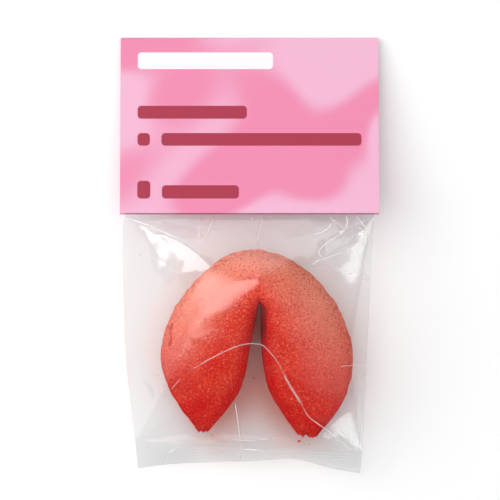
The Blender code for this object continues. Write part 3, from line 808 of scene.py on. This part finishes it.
# The header card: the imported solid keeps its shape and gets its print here
card = {
    "foldY": 67.35,              # mm, middle of the fold
    "foldZ": 1.2,
    "tilt": -12.5,               # degrees
    "outside": 1.2,              # mm from the middle plane to a printed face
    "lightPink": "#e8aec9",
    "deepPink": "#e583a7",
    "white": "#f0ecee",
    "crimson": "#a42642",
    "patchSize": 44.0,           # mm
    # Printed bars: x from, x to, y from, y to, in mm, and ink
    "bars": [(-35.1, 7.4, 58.6, 63.9, "white"),
             (-35.1, -0.8, 42.9, 47.0, "crimson"),
             (-35.1, -31.2, 34.4, 38.4, "crimson"), (-27.6, 35.1, 34.4, 38.4, "crimson"),
             (-35.1, -31.0, 17.8, 23.4, "crimson"), (-27.4, -3.3, 17.8, 22.0, "crimson")],
    "barCorner": 1.2,
    "inkEdge": 0.1,              # mm, softness of a bar's edge
    "fiber": 0.6,                # mm
    "fiberRelief": 0.03,         # mm
}


def printedCard():
    # Coated card 0.5 mm thick, offset-printed in two pinks that run softly into each other,
    # satin varnished: even colour, a faint sheen and a trace of the fibres underneath.
    c = card
    material, tree, output = newMaterial("coated printed card")
    place = addNode(tree, "TexCoord").outputs["Object"]
    # The card's own axes: from the fold, along the panels and out of them
    own = addNode(tree, "Mapping",
                  {"vector_type": "TEXTURE", "Location": (0, c["foldY"] * mm, c["foldZ"] * mm),
                   "Rotation": (math.radians(c["tilt"]), 0, 0)}, {"Vector": place})
    ownParts = addNode(tree, "SeparateXYZ", None, {0: own.outputs[0]})
    parts = addNode(tree, "SeparateXYZ", None, {0: place})

    soft = addNode(tree, "TexNoise", {"Scale": 1 / (c["patchSize"] * mm), "Detail": 0.0, "Distortion": 0.9},
                   {"Vector": own.outputs[0]})
    blend = addNode(tree, "MapRange", {1: 0.41, 2: 0.57, "interpolation_type": "SMOOTHERSTEP"},
                    {0: soft.outputs["Fac"]})
    color = addNode(tree, "Mix", {"data_type": "RGBA", 6: linear(c["lightPink"]), 7: linear(c["deepPink"])},
                    {0: blend.outputs[0]}).outputs[2]

    onFront = addNode(tree, "Math", {"operation": "GREATER_THAN", 1: 0.9 * c["outside"] * mm},
                      {0: ownParts.outputs["Z"]})
    # Each bar is where the distance to its inner rectangle is less than the radius of its corners
    for fromX, toX, fromY, toY, ink in c["bars"]:
        middle = ((fromX + toX) / 2 * mm, (fromY + toY) / 2 * mm)
        half = ((toX - fromX) / 2 - c["barCorner"], (toY - fromY) / 2 - c["barCorner"])
        squares = []
        for axis, centre, reach in (("X", middle[0], half[0]), ("Y", middle[1], half[1])):
            away = addNode(tree, "Math", {"operation": "SUBTRACT", 1: centre}, {0: parts.outputs[axis]})
            size = addNode(tree, "Math", {"operation": "ABSOLUTE"}, {0: away.outputs[0]})
            beyond = addNode(tree, "Math", {"operation": "SUBTRACT", 1: reach * mm}, {0: size.outputs[0]})
            outside = addNode(tree, "Math", {"operation": "MAXIMUM", 1: 0.0}, {0: beyond.outputs[0]})
            squares.append(addNode(tree, "Math", {"operation": "POWER", 1: 2.0}, {0: outside.outputs[0]}))
        both = addNode(tree, "Math", {"operation": "ADD"},
                       {0: squares[0].outputs[0], 1: squares[1].outputs[0]})
        distance = addNode(tree, "Math", {"operation": "SQRT"}, {0: both.outputs[0]})
        solid, bare = ((c["barCorner"] + side * c["inkEdge"]) * mm for side in (-1, 1))
        inBar = addNode(tree, "MapRange", {1: solid, 2: bare, 3: 1.0, 4: 0.0}, {0: distance.outputs[0]})
        inked = addNode(tree, "Math", {"operation": "MULTIPLY"},
                        {0: inBar.outputs[0], 1: onFront.outputs[0]})
        color = addNode(tree, "Mix", {"data_type": "RGBA", 7: linear(c[ink])},
                        {0: inked.outputs[0], 6: color}).outputs[2]

    fiber = addNode(tree, "TexNoise", {"Scale": 1 / (c["fiber"] * mm), "Detail": 3.0}, {"Vector": place})
    bump = addNode(tree, "Bump", {"Strength": 0.12, "Distance": c["fiberRelief"] * mm},
                   {"Height": fiber.outputs["Fac"]})
    surface = addNode(tree, "BsdfPrincipled", {"Roughness": 0.5, "IOR": 1.5, "Specular IOR Level": 0.35},
                      {"Base Color": color, "Normal": bump.outputs[0]})
    tree.links.new(surface.outputs[0], output.inputs["Surface"])
    return material


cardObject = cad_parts["header_card"]
cardObject.data.materials.clear()
cardObject.data.materials.append(printedCard())
print("card printed:", len(card["bars"]), "bars")


# Table, light and camera, in metres where nothing else is said
studio = {
    "floorColor": "#fafafa",
    "floorCloud": "#f8f8f8",
    "floorReach": 3.0,
    "keyFrom": (-0.78, 0.40, 0.45),
    "keyDistance": 1.2,
    "keySize": (1.4, 0.5),       # a long low softbox, so that shadows run wide and soft
    "keyPower": 8.0,
    "overheadFrom": (-0.14, 0.08, 0.985),
    "overheadDistance": 2.4,
    "overheadSize": (3.8, 3.8),
    "overheadPower": 77.0,
    "fillFrom": (0.78, -0.24, 0.58),
    "fillDistance": 1.9,
    "fillSize": (1.6, 1.4),
    "fillPower": 8.5,
    # Panels that only glossy surfaces pick up: a bright one on the left and softer ones around
    "glareFrom": (-0.50, 0.0, 0.86),
    "glareDistance": 1.9,
    "glareSize": (1.38, 1.15),
    "glarePower": 21.0,
    "sheenFrom": (0.66, -0.31, 0.68),
    "sheenDistance": 1.9,
    "sheenSize": (2.2, 2.3),
    "sheenRoll": 24,             # degrees
    "sheenPower": 7.5,
    "backFrom": (0.06, 0.90, 0.42),
    "backDistance": 1.9,
    "backSize": (2.2, 2.2),
    "backPower": 21.0,
    "sideFrom": (-0.93, -0.08, 0.30),
    "sideDistance": 1.9,
    "sideSize": (2.2, 1.2),
    "sidePower": 6.5,
    "horizon": 0.07,
    "zenith": 0.02,
    "cameraX": 0.16,             # mm
    "cameraY": 1.73,
    "cameraDistance": 1.6,
    "frameWidth": 157.6,         # mm across the photo at the floor
}


def addLight(name, forGloss):
    s = studio
    data = bpy.data.lights.new(name, "AREA")
    data.shape = "RECTANGLE"
    data.size, data.size_y = s[name + "Size"]
    data.energy = s[name + "Power"]
    data.use_shadow = name != "fill"         # the fill light is set to cast no shadow of its own
    light = bpy.data.objects.new(name, data)
    away = Vector(s[name + "From"]).normalized()
    light.location = away * s[name + "Distance"]
    roll = Quaternion((0, 0, 1), math.radians(s.get(name + "Roll", 0)))
    light.rotation_euler = (away.to_track_quat("Z", "Y") @ roll).to_euler()
    light.visible_camera = False
    light.visible_diffuse = not forGloss
    light.visible_glossy = forGloss
    bpy.context.scene.collection.objects.link(light)


def addLights():
    for name in ("key", "overhead", "fill"):
        addLight(name, False)
    for name in ("glare", "sheen", "back", "side"):
        addLight(name, True)


def studioWorld():
    # A dim room: a little light from all round and less from overhead, where the camera is
    world = bpy.data.worlds.new("studio")
    bpy.context.scene.world = world
    world.use_nodes = True
    tree = world.node_tree
    tree.nodes.clear()
    direction = addNode(tree, "TexCoord").outputs["Generated"]
    height = addNode(tree, "SeparateXYZ", None, {0: direction}).outputs["Z"]
    brightness = addNode(tree, "MapRange", {1: 0.25, 2: 0.95, 3: studio["horizon"], 4: studio["zenith"]},
                         {0: height})
    glow = addNode(tree, "Background", {"Color": linear("#ffffff")}, {"Strength": brightness.outputs[0]})
    output = addNode(tree, "OutputWorld")
    tree.links.new(glow.outputs[0], output.inputs["Surface"])


def whiteTable():
    # Matt white laminate, with a barely visible unevenness
    material, tree, output = newMaterial("white table")
    place = addNode(tree, "TexCoord").outputs["Object"]
    cloud = addNode(tree, "TexNoise", {"Scale": 3.0}, {"Vector": place})
    colors = {6: linear(studio["floorColor"]), 7: linear(studio["floorCloud"])}
    shade = addNode(tree, "Mix", {"data_type": "RGBA", **colors}, {0: cloud.outputs["Fac"]})
    surface = addNode(tree, "BsdfDiffuse", None, {"Color": shade.outputs[2]})
    tree.links.new(surface.outputs[0], output.inputs["Surface"])
    return material


bpy.context.scene.view_settings.view_transform = "Standard"
studioWorld()
addLights()
reach = studio["floorReach"]
floor = newPiece("table", [(-reach, -reach, 0), (reach, -reach, 0), (reach, reach, 0), (-reach, reach, 0)],
                 [(0, 1, 2, 3)], whiteTable())

cameraData = bpy.data.cameras.new("from above")
cameraData.sensor_width = 36.0
cameraData.lens = 36.0 * studio["cameraDistance"] / (studio["frameWidth"] * mm)
camera = bpy.data.objects.new("from above", cameraData)
camera.location = (studio["cameraX"] * mm, studio["cameraY"] * mm, studio["cameraDistance"])
bpy.context.scene.collection.objects.link(camera)
bpy.context.scene.camera = camera
print("studio set")

bpy.context.view_layer.update()
